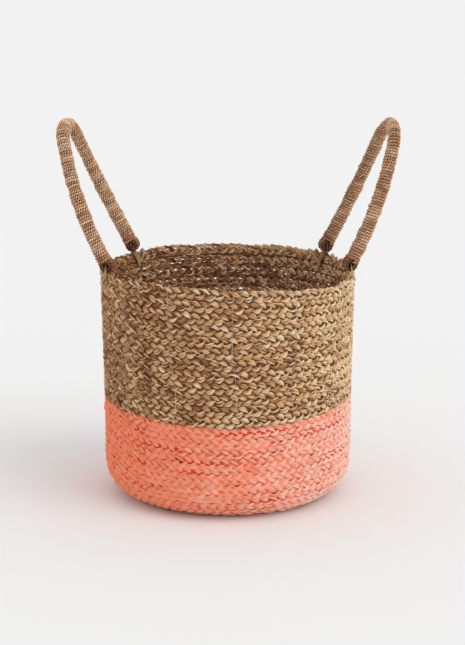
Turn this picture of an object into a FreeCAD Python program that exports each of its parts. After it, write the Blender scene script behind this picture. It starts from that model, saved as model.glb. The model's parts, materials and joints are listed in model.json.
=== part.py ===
import FreeCAD, Part
import math
import os

import Sketcher

# Round seagrass storage basket. One long plait is coiled into the base, round the bottom corner
# and up the wall, and thirteen threads sew the turns together over the rim. Two bound arch
# handles stand on the rim: a strand through the eye of each foot lashes it down, and the handle
# swings about the line through its two eyes. The basket stands on Z = 0 with its axis on Z,
# handles to the left (-X) and right (+X), front to -Y. Millimetres and degrees.

FULL_TURN = 360.0
QUARTER_TURN = 90.0
ORIGIN_POINT = (-1, 1)
X_AXIS, Y_AXIS = -1, -2
START, END, CENTRE = 1, 2, 3

# Every size that can be set by itself, once: alias, value, what it is.
DRIVING_SIZES = [
    ("wall_radius", 156.0, "axis to the middle of the wall, straight part"),
    ("wall_thickness", 8.0, "plait thickness"),
    ("rim_flare", 3.0, "how far the rim stands out past the straight part"),
    ("natural_turns", 12, "turns of bare plait"),
    ("natural_pitch", 14.4, "height of one turn of bare plait"),
    ("flared_turns", 10, "turns below the rim that lean out"),
    ("coral_turns", 6, "painted turns on the straight wall"),
    ("coral_pitch", 12.8, "width of one turn of painted plait"),
    ("corner_turns", 5, "painted turns round the bottom corner"),
    ("corner_radius", 45.2, "outside radius of the bottom corner"),
    ("base_turns", 9, "turns in the flat base"),
    ("base_groove_depth", 1.4, "groove between two turns of the base"),
    ("flat_share", 0.54, "share of a turn's width that lies flat on each face"),
    ("turn_gap", 0.3, "gap between two turns"),
    ("thread_count", 13, "sewing threads round the wall"),
    ("thread_start", 3.0, "angle of the first thread, from the front towards the right"),
    ("thread_width", 1.6, "thread size along the wall"),
    ("thread_depth", 1.2, "thread size across the wall"),
    ("thread_gap", 0.5, "thread to the turns it lies on"),
    ("thread_foot", 52.0, "height of the threads' lower ends"),
    ("handle_radius", 9.2, "outside radius of a bound handle, over its corners"),
    ("handle_sides", 14, "sides of a bound handle's section"),
    ("core_radius", 6.6, "radius of the bundle inside the binding"),
    ("core_sides", 8, "sides of the bundle's section"),
    ("foot_width", 16.0, "rounded foot, along its eye"),
    ("foot_bevel", 3.0, "bevel on a foot's two edges"),
    ("binding_gap", 0.1, "bundle to binding"),
    ("binding_start", 12.0, "eye line to the binding's lower ends"),
    ("handle_rise", 180.0, "eye line to the middle of the grip"),
    ("grip_radius", 42.0, "radius of the arch at the top"),
    ("handle_lean", 22.3, "how far a handle leans out at rest"),
    ("left_azimuth", 9.2, "left handle's middle, behind the X axis"),
    ("left_spread", 28.3, "left handle's middle to each foot"),
    ("right_azimuth", 10.0, "right handle's middle, behind the X axis"),
    ("right_spread", 25.5, "right handle's middle to each foot"),
    ("eye_radius", 2.3, "eye through each foot"),
    ("swing_gap", 0.3, "handle foot to the rim below it"),
    ("strand_size", 2.6, "lashing strand, square"),
    ("lashing_gap", 0.4, "lashing strand to the wall"),
    ("lashing_drop", 28.0, "eye line to the lashing's lower ends"),
]

doc = FreeCAD.newDocument("seagrass_storage_basket")
sizes = doc.addObject("Spreadsheet::Sheet", "Sizes")
for row, (alias, value, meaning) in enumerate(DRIVING_SIZES, start=1):
    sizes.set("A%d" % row, meaning)
    sizes.set("B%d" % row, str(value))
    sizes.setAlias("B%d" % row, alias)
doc.recompute()

# Heights and radii that follow from the driving sizes, as expressions.
EDGE_HEIGHT = "(Sizes.corner_radius + Sizes.coral_turns * Sizes.coral_pitch)"
RIM_HEIGHT = "(%s + Sizes.natural_turns * Sizes.natural_pitch)" % EDGE_HEIGHT
FLARE_HEIGHT = "(%s - Sizes.flared_turns * Sizes.natural_pitch)" % RIM_HEIGHT
RIM_RADIUS = "(Sizes.wall_radius + Sizes.rim_flare)"
CORNER_MIDDLE = "(Sizes.corner_radius - Sizes.wall_thickness / 2)"
BASE_RADIUS = "(Sizes.wall_radius - %s)" % CORNER_MIDDLE
EYE_HEIGHT = "(%s + Sizes.swing_gap + Sizes.handle_radius)" % RIM_HEIGHT

parts = []


def new_body(name):
    """Start one sub-part, whose label names its file."""
    body = doc.addObject("PartDesign::Body", name)
    body.Label = name
    parts.append(body)
    return body


def origin_feature(body, role):
    """The body's own origin plane or axis with this role."""
    return next(item for item in body.Origin.OriginFeatures if item.Role == role)


def new_sketch(body, role, name):
    """Attach an empty sketch to one of the body's own origin planes."""
    sketch = body.newObject("Sketcher::SketchObject", "%s_%s" % (body.Name, name))
    sketch.AttachmentSupport = (origin_feature(body, role), [""])
    sketch.MapMode = "FlatFace"
    return sketch


def dimension(sketch, kind, references, expression):
    """Add a dimension and bind it to an expression of the sheet."""
    value = float(sketch.evalExpression(expression))
    index = sketch.addConstraint(Sketcher.Constraint(kind, *references, value))
    sketch.setExpression("Constraints[%d]" % index, expression)


def hold_point(sketch, geometry, position, across, up):
    """Fix a point by its distances from the sketch's origin, on an axis where one is None."""
    if across is None:
        sketch.addConstraint(Sketcher.Constraint("PointOnObject", geometry, position, Y_AXIS))
    else:
        dimension(sketch, "DistanceX", (*ORIGIN_POINT, geometry, position), across)
    if up is None:
        sketch.addConstraint(Sketcher.Constraint("PointOnObject", geometry, position, X_AXIS))
    else:
        dimension(sketch, "DistanceY", (*ORIGIN_POINT, geometry, position), up)


def value_of(sketch, expression):
    """Read an expression of the sheet as a number, with None for zero."""
    return 0.0 if expression is None else float(sketch.evalExpression(expression))


def outline(sketch, corners):
    """Draw a closed outline through corners that are pairs of expressions."""
    points = [FreeCAD.Vector(value_of(sketch, across), value_of(sketch, up), 0)
              for across, up in corners]
    first = sketch.GeometryCount
    for start, end in zip(points, points[1:] + points[:1]):
        sketch.addGeometry(Part.LineSegment(start, end))
    for offset, (across, up) in enumerate(corners):
        line = first + offset
        before = first + (offset - 1) % len(corners)
        sketch.addConstraint(Sketcher.Constraint("Coincident", before, END, line, START))
        hold_point(sketch, line, START, across, up)


def revolve(body, sketch, name="PartDesign::Revolution", axis="Z_Axis"):
    """Turn a section once round one of the body's own axes."""
    feature = body.newObject(name, "%s_turned" % sketch.Name)
    feature.Profile = sketch
    feature.ReferenceAxis = (origin_feature(body, axis), [""])
    feature.Angle = FULL_TURN
    sketch.Visibility = False
    return feature


def coil_turn(name, radius, height, half_width, tilt="0"):
    """One turn of plait: a six-sided lens of a section, thickest in the middle of the strip."""
    body = new_body(name)
    sketch = new_sketch(body, "XZ_Plane", "section")
    sketch.setExpression(
        "AttachmentOffset",
        "placement(vector(%s; %s; 0); rotation(vector(0; 0; 1); %s))" % (radius, height, tilt),
    )
    flat = "(Sizes.flat_share * %s)" % half_width
    half_wall = "(Sizes.wall_thickness / 2)"
    tip, shoulder, face = (value_of(sketch, text) for text in (half_width, flat, half_wall))
    corners = [(face, -shoulder), (face, shoulder), (0, tip),
               (-face, shoulder), (-face, -shoulder), (0, -tip)]
    points = [FreeCAD.Vector(across, up, 0) for across, up in corners]
    for start, end in zip(points, points[1:] + points[:1]):
        sketch.addGeometry(Part.LineSegment(start, end))
    for line in range(len(points)):
        following = (line + 1) % len(points)
        sketch.addConstraint(Sketcher.Constraint("Coincident", line, END, following, START))
    outer, upper_tip, inner, lower_tip = 0, (2, START), 3, (5, START)
    sketch.addConstraint(Sketcher.Constraint("PointOnObject", *upper_tip, Y_AXIS))
    sketch.addConstraint(Sketcher.Constraint("Symmetric", *upper_tip, *lower_tip, *ORIGIN_POINT))
    sketch.addConstraint(Sketcher.Constraint("Symmetric", outer, START, outer, END, X_AXIS))
    sketch.addConstraint(Sketcher.Constraint("Symmetric", outer, END, inner, START, Y_AXIS))
    sketch.addConstraint(Sketcher.Constraint("Symmetric", outer, START, inner, END, Y_AXIS))
    dimension(sketch, "DistanceY", (*ORIGIN_POINT, *upper_tip), half_width)
    dimension(sketch, "DistanceY", (outer, START, outer, END), "2 * " + flat)
    dimension(sketch, "DistanceX", (inner, START, outer, END), "Sizes.wall_thickness")
    revolve(body, sketch)


def natural_wall():
    """Bare turns from the rim down to the painted edge; the upper ones lean out to the rim."""
    half_width = "((Sizes.natural_pitch - Sizes.turn_gap) / 2)"
    for index in range(int(sizes.natural_turns)):
        height = "(%s - %.1f * Sizes.natural_pitch)" % (RIM_HEIGHT, index + 0.5)
        flare = "(Sizes.rim_flare * max(0; 1 - %d / Sizes.flared_turns))" % index
        coil_turn("natural_turn_%02d" % (index + 1), "(Sizes.wall_radius + %s)" % flare,
                  height, half_width)


def coral_wall():
    """Painted turns on the straight wall, from the painted edge down to the corner."""
    half_width = "((Sizes.coral_pitch - Sizes.turn_gap) / 2)"
    for index in range(int(sizes.coral_turns)):
        height = "(%s - %.1f * Sizes.coral_pitch)" % (EDGE_HEIGHT, index + 0.5)
        coil_turn("coral_turn_%02d" % (index + 1), "Sizes.wall_radius", height, half_width)


def coral_corner():
    """Painted turns round the bottom corner, each tilted to face out from the corner's centre."""
    step = "(%g / Sizes.corner_turns)" % QUARTER_TURN
    half_width = "(%s * tan(%s * 0.5 deg) - Sizes.turn_gap / 2)" % (CORNER_MIDDLE, step)
    for index in range(int(sizes.corner_turns)):
        down = "(%.1f * %s * 1 deg)" % (index + 0.5, step)
        radius = "(%s + %s * cos(%s))" % (BASE_RADIUS, CORNER_MIDDLE, down)
        height = "(Sizes.corner_radius - %s * sin(%s))" % (CORNER_MIDDLE, down)
        coil_turn("corner_turn_%02d" % (index + 1), radius, height, half_width, "-" + down)


def base_coil():
    """The flat base: a disc with a groove above and below between each two turns."""
    body = new_body("base_coil")
    disc = new_sketch(body, "XZ_Plane", "disc")
    edge = "(%s - Sizes.turn_gap / 2)" % BASE_RADIUS
    thickness = "Sizes.wall_thickness"
    outline(disc, [(None, None), (edge, None), (edge, thickness), (None, thickness)])
    revolve(body, disc)
    grooves = new_sketch(body, "XZ_Plane", "grooves")
    pitch = "(%s / Sizes.base_turns)" % BASE_RADIUS
    half_mouth = "((1 - Sizes.flat_share) * %s / 2)" % pitch
    floor_above = "(Sizes.wall_thickness - Sizes.base_groove_depth)"
    for index in range(1, int(sizes.base_turns)):
        middle = "(%d * %s)" % (index, pitch)
        inner, outer = "(%s - %s)" % (middle, half_mouth), "(%s + %s)" % (middle, half_mouth)
        outline(grooves, [(inner, None), (outer, None), (middle, "Sizes.base_groove_depth")])
        outline(grooves, [(inner, thickness), (middle, floor_above), (outer, thickness)])
    revolve(body, grooves, "PartDesign::Groove")


def stitch_thread(index):
    """One sewing thread: a hairpin over the rim that runs down both faces of the wall."""
    body = new_body("stitch_thread_%02d" % (index + 1))
    sketch = new_sketch(body, "XZ_Plane", "hairpin")
    bend_height = "(%s - Sizes.wall_thickness / 2)" % RIM_HEIGHT
    near = "(Sizes.wall_thickness / 2 + Sizes.thread_gap)"
    far = "(%s + Sizes.thread_depth)" % near
    stations = [("Sizes.thread_foot", "Sizes.wall_radius"), (FLARE_HEIGHT, "Sizes.wall_radius"),
                (bend_height, RIM_RADIUS)]
    paths = {}
    for side in ("+", "-"):
        for reach in (near, far):
            paths[side, reach] = [("(%s %s %s)" % (radius, side, reach), height)
                                  for height, radius in stations]
    centre = FreeCAD.Vector(value_of(sketch, RIM_RADIUS), value_of(sketch, bend_height), 0)
    legs = {}
    for key, points in paths.items():
        places = [FreeCAD.Vector(value_of(sketch, x), value_of(sketch, y), 0) for x, y in points]
        first = sketch.GeometryCount
        for start, end in zip(places, places[1:]):
            sketch.addGeometry(Part.LineSegment(start, end))
        sketch.addConstraint(Sketcher.Constraint("Coincident", first, END, first + 1, START))
        for offset in range(2):
            hold_point(sketch, first + offset, START, *points[offset])
        hold_point(sketch, first + 1, END, *points[-1])
        legs[key] = first
    for reach in (near, far):
        circle = Part.Circle(centre, FreeCAD.Vector(0, 0, 1), value_of(sketch, reach))
        bend = sketch.addGeometry(Part.ArcOfCircle(circle, 0, math.pi))
        outer, inner = legs["+", reach] + 1, legs["-", reach] + 1
        sketch.addConstraint(Sketcher.Constraint("Coincident", bend, START, outer, END))
        sketch.addConstraint(Sketcher.Constraint("Coincident", bend, END, inner, END))
        dimension(sketch, "DistanceY", (*ORIGIN_POINT, bend, CENTRE), bend_height)
    for side in ("+", "-"):
        ends = [sketch.Geometry[legs[side, reach]].StartPoint for reach in (near, far)]
        cap = sketch.addGeometry(Part.LineSegment(*ends))
        sketch.addConstraint(Sketcher.Constraint("Coincident", cap, START, legs[side, near], START))
        sketch.addConstraint(Sketcher.Constraint("Coincident", cap, END, legs[side, far], START))
    pad = body.newObject("PartDesign::Pad", body.Name + "_pad")
    pad.Profile = sketch
    pad.Midplane = True
    pad.setExpression("Length", "Sizes.thread_width")
    sketch.Visibility = False
    turn = "(Sizes.thread_start - %g + %d * %g / Sizes.thread_count)" % (
        QUARTER_TURN, index, FULL_TURN)
    body.setExpression(
        "Placement", "placement(vector(0; 0; 0); rotation(vector(0; 0; 1); %s * 1 deg))" % turn)


def half_chord(side):
    """Middle of a handle to each eye, along the line through its two eyes."""
    return "(%s * sin(Sizes.%s_spread * 1 deg))" % (RIM_RADIUS, side)


def handle_placement(side):
    """Stand a handle on the rim: X out, Y along its eyes, tipped out by the lean."""
    distance = "(%s * cos(Sizes.%s_spread * 1 deg))" % (RIM_RADIUS, side)
    heading = "(Sizes.right_azimuth)" if side == "right" else "(180 - Sizes.left_azimuth)"
    return (
        "placement(vector({d} * cos({a} * 1 deg); {d} * sin({a} * 1 deg); {z});"
        " rotation({a} * 1 deg; Sizes.handle_lean * 1 deg; 0 deg))"
    ).format(d=distance, a=heading, z=EYE_HEIGHT)


def arch_path(body, side):
    """The handle's centre line: a round grip, and two wide arcs that meet the eyes upright."""
    sketch = new_sketch(body, "YZ_Plane", "arch")
    half = value_of(sketch, half_chord(side))
    rise, grip = float(sizes.handle_rise), float(sizes.grip_radius)
    grip_centre = rise - grip
    leg = (half ** 2 + grip_centre ** 2 - grip ** 2) / (2 * (half - grip))
    sweep = math.atan2(grip_centre, leg - half)
    up = FreeCAD.Vector(0, 0, 1)
    near_circle = Part.Circle(FreeCAD.Vector(half - leg, 0, 0), up, leg)
    grip_circle = Part.Circle(FreeCAD.Vector(0, grip_centre, 0), up, grip)
    far_circle = Part.Circle(FreeCAD.Vector(leg - half, 0, 0), up, leg)
    near = sketch.addGeometry(Part.ArcOfCircle(near_circle, 0, sweep))
    top = sketch.addGeometry(Part.ArcOfCircle(grip_circle, sweep, math.pi - sweep))
    far = sketch.addGeometry(Part.ArcOfCircle(far_circle, math.pi - sweep, math.pi))
    sketch.addConstraint(Sketcher.Constraint("Tangent", near, END, top, START))
    sketch.addConstraint(Sketcher.Constraint("Tangent", top, END, far, START))
    sketch.addConstraint(Sketcher.Constraint("PointOnObject", near, CENTRE, X_AXIS))
    sketch.addConstraint(Sketcher.Constraint("PointOnObject", far, CENTRE, X_AXIS))
    sketch.addConstraint(Sketcher.Constraint("PointOnObject", top, CENTRE, Y_AXIS))
    sketch.addConstraint(Sketcher.Constraint("PointOnObject", near, START, X_AXIS))
    sketch.addConstraint(Sketcher.Constraint("Symmetric", near, START, far, END, Y_AXIS))
    dimension(sketch, "DistanceX", (*ORIGIN_POINT, near, START), half_chord(side))
    dimension(sketch, "Radius", (top,), "Sizes.grip_radius")
    dimension(sketch, "DistanceY", (*ORIGIN_POINT, top, CENTRE),
              "(Sizes.handle_rise - Sizes.grip_radius)")
    return sketch


def sweep_sections(body, side, sections):
    """Sweep many-sided sections, centred on one eye, along the arch."""
    path = arch_path(body, side)
    section = new_sketch(body, "XY_Plane", "section")
    for radius, count in sections:
        corners = []
        for index in range(int(value_of(section, count))):
            turn = "((%d + 0.5) * %g deg / %s)" % (index, FULL_TURN, count)
            corners.append(("(%s * cos(%s))" % (radius, turn),
                            "(%s + %s * sin(%s))" % (half_chord(side), radius, turn)))
        outline(section, corners)
    pipe = body.newObject("PartDesign::AdditivePipe", body.Name + "_sweep")
    pipe.Profile = section
    pipe.Spine = (path, [])
    path.Visibility = False
    section.Visibility = False


def handle_core(side):
    """The bundle inside a handle, turned round an eye at each end into a barrel of a foot."""
    body = new_body(side + "_handle_core")
    sweep_sections(body, side, [("Sizes.core_radius", "Sizes.core_sides")])
    feet = new_sketch(body, "YZ_Plane", "feet")
    half_width, radius = "(Sizes.foot_width / 2)", "Sizes.handle_radius"
    shoulder = "(%s - Sizes.foot_bevel)" % radius
    for sign in ("-", ""):
        middle = "(%s%s)" % (sign, half_chord(side))
        ends = ["(%s %s %s)" % (middle, way, half_width) for way in "-+"]
        crests = ["(%s %s (%s - Sizes.foot_bevel))" % (middle, way, half_width) for way in "-+"]
        outline(feet, [(ends[0], None), (ends[1], None), (ends[1], shoulder),
                       (crests[1], radius), (crests[0], radius), (ends[0], shoulder)])
    revolve(body, feet, axis="Y_Axis")
    eyes = body.newObject("PartDesign::SubtractiveCylinder", side + "_eyes")
    eyes.AttachmentSupport = (origin_feature(body, "XZ_Plane"), [""])
    eyes.MapMode = "FlatFace"
    reach = "(%s + Sizes.foot_width)" % half_chord(side)
    eyes.setExpression("Radius", "Sizes.eye_radius")
    eyes.setExpression("Height", "2 * " + reach)
    eyes.setExpression("AttachmentOffset.Base.z", "-" + reach)
    body.setExpression("Placement", handle_placement(side))


def handle_binding(side):
    """The cord binding: a sleeve over the bundle that stops short of each foot."""
    body = new_body(side + "_handle_binding")
    bore = "(Sizes.core_radius + Sizes.binding_gap)"
    sweep_sections(body, side, [("Sizes.handle_radius", "Sizes.handle_sides"),
                                (bore, "Sizes.core_sides")])
    trim = new_sketch(body, "YZ_Plane", "trim")
    wide = "(%s + 2 * Sizes.handle_radius)" % half_chord(side)
    low, high = "(-Sizes.handle_radius)", "Sizes.binding_start"
    outline(trim, [("(-%s)" % wide, low), (wide, low), (wide, high), ("(-%s)" % wide, high)])
    pocket = body.newObject("PartDesign::Pocket", body.Name + "_ends")
    pocket.Profile = trim
    pocket.Midplane = True
    pocket.setExpression("Length", "4 * Sizes.handle_radius")
    trim.Visibility = False
    body.setExpression("Placement", handle_placement(side))


def lashing(side, foot):
    """A strand through one eye whose ends drop on the two sides of the wall."""
    body = new_body("%s_%s_lashing" % (side, foot))
    sketch = new_sketch(body, "YZ_Plane", "staple")
    spread = "(%s * sin(Sizes.%s_spread * 1 deg))" % (RIM_RADIUS, side)
    reach = "(Sizes.wall_thickness / 2 + Sizes.lashing_gap + Sizes.strand_size / sqrt(2))"
    sink = "(Sizes.rim_flare * Sizes.lashing_drop / (Sizes.flared_turns * Sizes.natural_pitch))"
    outside = "(%s + %s)" % (RIM_RADIUS, reach)
    inside = "(%s - %s - %s)" % (RIM_RADIUS, reach, sink)
    # Along the line of the eyes, from this eye to where the strand is clear of each wall face.
    out_leg = "(sqrt(%s ^ 2 + %s ^ 2 - %s ^ 2) - %s)" % (spread, outside, RIM_RADIUS, spread)
    in_leg = "(%s - sqrt(%s ^ 2 + %s ^ 2 - %s ^ 2))" % (spread, spread, inside, RIM_RADIUS)
    size, drop = "Sizes.strand_size", "Sizes.lashing_drop"
    half = "(Sizes.strand_size / 2)"
    low, under, over = "(-%s)" % drop, "(-%s)" % half, half
    corners = [("(%s + %s)" % (out_leg, half), low), ("(%s + %s)" % (out_leg, half), over),
               ("(-%s - %s)" % (in_leg, half), over), ("(-%s - %s)" % (in_leg, half), low),
               ("(-%s + %s)" % (in_leg, half), low), ("(-%s + %s)" % (in_leg, half), under),
               ("(%s - %s)" % (out_leg, half), under), ("(%s - %s)" % (out_leg, half), low)]
    outline(sketch, corners)
    pad = body.newObject("PartDesign::Pad", body.Name + "_pad")
    pad.Profile = sketch
    pad.Midplane = True
    pad.setExpression("Length", size)
    sketch.Visibility = False
    sign = -1 if foot == "front" else 1
    if side == "right":
        heading = "(Sizes.right_azimuth + %d * Sizes.right_spread)" % sign
        chord = "(Sizes.right_azimuth + %d)" % (0 if sign > 0 else 180)
    else:
        heading = "(180 - Sizes.left_azimuth - %d * Sizes.left_spread)" % sign
        chord = "(%d - Sizes.left_azimuth)" % (0 if sign > 0 else 180)
    body.setExpression("Placement", (
        "placement(vector({r} * cos({h} * 1 deg); {r} * sin({h} * 1 deg); {z});"
        " rotation(vector(0; 0; 1); {c} * 1 deg))"
    ).format(r=RIM_RADIUS, h=heading, c=chord, z=EYE_HEIGHT))


def check(item):
    """Stop if an object failed to compute or a sub-part has no valid single solid."""
    if "Invalid" in item.State or "Error" in item.State:
        raise RuntimeError("%s did not compute: %s" % (item.Name, item.State))
    if item in parts:
        shape = item.Shape
        if shape.isNull() or not shape.isValid() or len(shape.Solids) != 1:
            raise RuntimeError("%s is not one valid solid" % item.Name)


natural_wall()
coral_wall()
coral_corner()
base_coil()
for thread in range(int(sizes.thread_count)):
    stitch_thread(thread)
for side in ("left", "right"):
    handle_core(side)
    handle_binding(side)
    for foot in ("front", "back"):
        lashing(side, foot)
doc.recompute()
for item in doc.Objects:
    check(item)

os.makedirs("parts", exist_ok=True)
for part in parts:
    part.Shape.exportStep("parts/%s.step" % part.Label)
box = FreeCAD.BoundBox()
for part in parts:
    box.add(part.Shape.BoundBox)
print("%d pieces, %.1f x %.1f x %.1f mm" % (len(parts), box.XLength, box.YLength, box.ZLength))
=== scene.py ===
"""Looks of the seagrass storage basket: plaited wall, painted lower half and bound handles.

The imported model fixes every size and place. The wall is one three-strand plait, coiled from the
rim down, round the bottom corner and in to the middle of the base; each turn of it stands for
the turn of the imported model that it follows. Lengths are in metres, and angles round the basket
start at the front and grow towards the right.
"""
import json
import logging
import math
from collections.abc import Sequence
from dataclasses import dataclass, field
from enum import Enum

import bpy
import numpy as np
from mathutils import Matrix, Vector


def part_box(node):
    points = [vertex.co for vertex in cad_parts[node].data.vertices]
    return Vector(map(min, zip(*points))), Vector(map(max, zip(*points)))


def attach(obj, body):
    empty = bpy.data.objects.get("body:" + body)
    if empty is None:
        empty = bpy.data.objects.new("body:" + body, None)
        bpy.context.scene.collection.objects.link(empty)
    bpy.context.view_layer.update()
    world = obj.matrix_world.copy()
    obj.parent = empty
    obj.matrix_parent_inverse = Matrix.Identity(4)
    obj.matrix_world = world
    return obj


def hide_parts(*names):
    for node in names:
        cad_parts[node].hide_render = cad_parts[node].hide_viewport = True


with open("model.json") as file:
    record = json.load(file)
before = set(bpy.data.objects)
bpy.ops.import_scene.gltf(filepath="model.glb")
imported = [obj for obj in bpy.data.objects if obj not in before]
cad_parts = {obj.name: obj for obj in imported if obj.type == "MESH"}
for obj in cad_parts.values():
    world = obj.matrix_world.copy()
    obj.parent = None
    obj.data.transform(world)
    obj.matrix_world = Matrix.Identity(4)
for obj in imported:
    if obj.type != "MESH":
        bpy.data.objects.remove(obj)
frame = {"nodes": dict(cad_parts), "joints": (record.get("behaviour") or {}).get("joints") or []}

LOG = logging.getLogger("seagrass_basket")
MM = 0.001
FULL_TURN = 2.0 * math.pi
RIM_TURN, FIRST_PAINTED_TURN = "natural_turn_01", "coral_turn_01"
FIRST_CORNER_TURN, BASE = "corner_turn_01", "base_coil"
Colour = tuple[float, float, float, float]
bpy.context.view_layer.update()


class Side(Enum):
    """Which handle, with the sign of its X."""

    LEFT = -1
    RIGHT = 1


class Foot(Enum):
    """Which end of a handle, with its sign along the line from front to back."""

    FRONT = -1
    BACK = 1


def srgb(red: int, green: int, blue: int) -> Colour:
    """Turn a display colour from 0 to 255 into the linear colour that a shader takes.

    Args:
        red: Red, 0 to 255.
        green: Green, 0 to 255.
        blue: Blue, 0 to 255.

    Returns:
        The linear colour, with full alpha.
    """
    parts = []
    for level in (red, green, blue):
        share = level / 255.0
        parts.append(share / 12.92 if share <= 0.04045 else ((share + 0.055) / 1.055) ** 2.4)
    return parts[0], parts[1], parts[2], 1.0


def smooth_step(low: float, high: float, value: np.ndarray) -> np.ndarray:
    """Rise smoothly from 0 at low to 1 at high."""
    share = np.clip((value - low) / (high - low), 0.0, 1.0)
    return share * share * (3.0 - 2.0 * share)


@dataclass(frozen=True)
class Chance:
    """Seeded unevenness along one strand, read at even distances."""

    rng: np.random.Generator
    length: float
    count: int

    def along(self) -> np.ndarray:
        """Distance along the strand at each sample."""
        return np.linspace(0.0, self.length, self.count)

    def wander(self, spacing: float) -> np.ndarray:
        """Draw a smooth random line.

        Args:
            spacing: Distance between two free values.

        Returns:
            Samples with a spread of about 1 round 0.
        """
        knots = self.rng.normal(0.0, 1.0, int(self.length / spacing) + 4)
        place = np.linspace(0.0, self.length / spacing, self.count)
        index = place.astype(int)
        share = smooth_step(0.0, 1.0, place - index)
        return knots[index] * (1.0 - share) + knots[index + 1] * share

    def blades(self, around: int, depth: float) -> np.ndarray:
        """Draw the ridges of the blades that make up a strand.

        Args:
            around: Number of points in a section.
            depth: How far a ridge stands out, as a share of the section.

        Returns:
            The scale of each point, as sections by points.
        """
        ridges = np.stack([self.wander(22 * MM) for _ in range(around)], axis=1)
        comb = np.where(np.arange(around) % 2 == 0, -0.6, 0.6)[None, :]
        return 1.0 + depth * (comb + 0.55 * ridges)

    def grain(self) -> float:
        """Draw the number that gives a strand a grain of its own."""
        return float(self.rng.uniform(0.0, 60.0))


def unit(vectors: np.ndarray) -> np.ndarray:
    """Scale each vector to a length of 1."""
    return vectors / np.maximum(np.linalg.norm(vectors, axis=-1, keepdims=True), 1e-12)


def smooth_line(points: Sequence[Sequence[float]], count: int) -> np.ndarray:
    """Run a smooth line through a few points.

    Args:
        points: Points that the line passes through.
        count: Number of samples.

    Returns:
        The samples, as many rows as count.
    """
    knots = np.array(points, float)
    padded = np.vstack([2 * knots[0] - knots[1], knots, 2 * knots[-1] - knots[-2]])
    place = np.linspace(0.0, len(knots) - 1.001, count)
    index = place.astype(int)
    share = (place - index)[:, None]
    before, start, end, after = (padded[index + step] for step in range(4))
    return 0.5 * (
        2 * start
        + (end - before) * share
        + (2 * before - 5 * start + 4 * end - after) * share ** 2
        + (3 * start - before - 3 * end + after) * share ** 3
    )


def distances(points: np.ndarray) -> np.ndarray:
    """Distance of each point from the first, along their line."""
    steps = np.linalg.norm(np.diff(points, axis=0), axis=1)
    return np.concatenate([[0.0], np.cumsum(steps)])


def resample(values: np.ndarray, distance: np.ndarray, places: np.ndarray) -> np.ndarray:
    """Read points or directions, known at each distance, at other places."""
    return np.stack([np.interp(places, distance, values[:, k]) for k in range(3)], axis=-1)


def standing(rings: np.ndarray, middle: np.ndarray, way: np.ndarray) -> np.ndarray:
    """How far each point of the rings stands out of their middle, each ring in its own way."""
    return ((rings - middle[:, None, :]) * way[:, None, :]).sum(-1)


def add_object(name: str, content: bpy.types.ID) -> bpy.types.Object:
    """Put a mesh, a lamp or a camera into the scene.

    Args:
        name: The new object's name.
        content: Its mesh, lamp or camera.

    Returns:
        The new object.
    """
    made = bpy.data.objects.new(name, content)
    bpy.context.scene.collection.objects.link(made)
    return made


@dataclass
class Strands:
    """Gathers tubes into one mesh, with the values that its finish reads at each point."""

    rng: np.random.Generator
    points: list[np.ndarray] = field(default_factory=list)
    faces: list[np.ndarray] = field(default_factory=list)
    tones: list[np.ndarray] = field(default_factory=list)
    crests: list[np.ndarray] = field(default_factory=list)
    paints: list[np.ndarray] = field(default_factory=list)
    fibres: list[np.ndarray] = field(default_factory=list)
    total: int = 0

    def chance(self, length: float, count: int) -> Chance:
        """Unevenness for a strand of this length, read at so many places."""
        return Chance(self.rng, length, count)

    def add(self, rings: np.ndarray, tone: np.ndarray | float, crest: np.ndarray | float,
            along: np.ndarray, seed: float, paint: np.ndarray | float = 0.0) -> None:
        """Join rings of points into a tube.

        Args:
            rings: Points, as rings by points of a ring by 3.
            tone: How light the fibre is, 0 to 1, with any painted light and shade.
            crest: 0 deep between strands to 1 on their crests; low values get painted shade.
            along: Distance along the strand at each ring.
            seed: A number of the strand's own, for its grain.
            paint: 0 bare to 1 painted.
        """
        count, around = rings.shape[:2]
        first = np.arange(count - 1)[:, None] * around
        here = np.arange(around)[None, :]
        following = (here + 1) % around
        quads = np.stack([first + here, first + following,
                          first + around + following, first + around + here], axis=-1)
        self.faces.append(quads.reshape(-1, 4) + self.total)
        self.points.append(rings.reshape(-1, 3))
        for values, value in ((self.tones, np.clip(tone, 0, 1)), (self.crests, crest),
                              (self.paints, paint)):
            values.append(np.broadcast_to(value, (count, around)).ravel())
        across = np.abs(np.linspace(-1.0, 1.0, around, endpoint=False))
        fibre = np.stack(np.broadcast_arrays(along[:, None] / MM, across[None, :], seed), axis=-1)
        self.fibres.append(fibre.reshape(-1, 3))
        self.total += count * around

    def build(self, name: str) -> bpy.types.Object:
        """Make the mesh object, smooth and with its named values.

        Args:
            name: The new object's name.

        Returns:
            The new object.
        """
        mesh = bpy.data.meshes.new(name)
        mesh.from_pydata(np.concatenate(self.points).tolist(), [],
                         np.concatenate(self.faces).tolist())
        for label, values in (("tone", self.tones), ("crest", self.crests),
                              ("paint", self.paints)):
            layer = mesh.attributes.new(label, "FLOAT", "POINT")
            layer.data.foreach_set("value", np.concatenate(values).astype(np.float32))
        layer = mesh.attributes.new("fibre", "FLOAT_VECTOR", "POINT")
        layer.data.foreach_set("vector", np.concatenate(self.fibres).astype(np.float32).ravel())
        mesh.polygons.foreach_set("use_smooth", np.ones(len(mesh.polygons), bool))
        mesh.update()
        return add_object(name, mesh)


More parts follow.
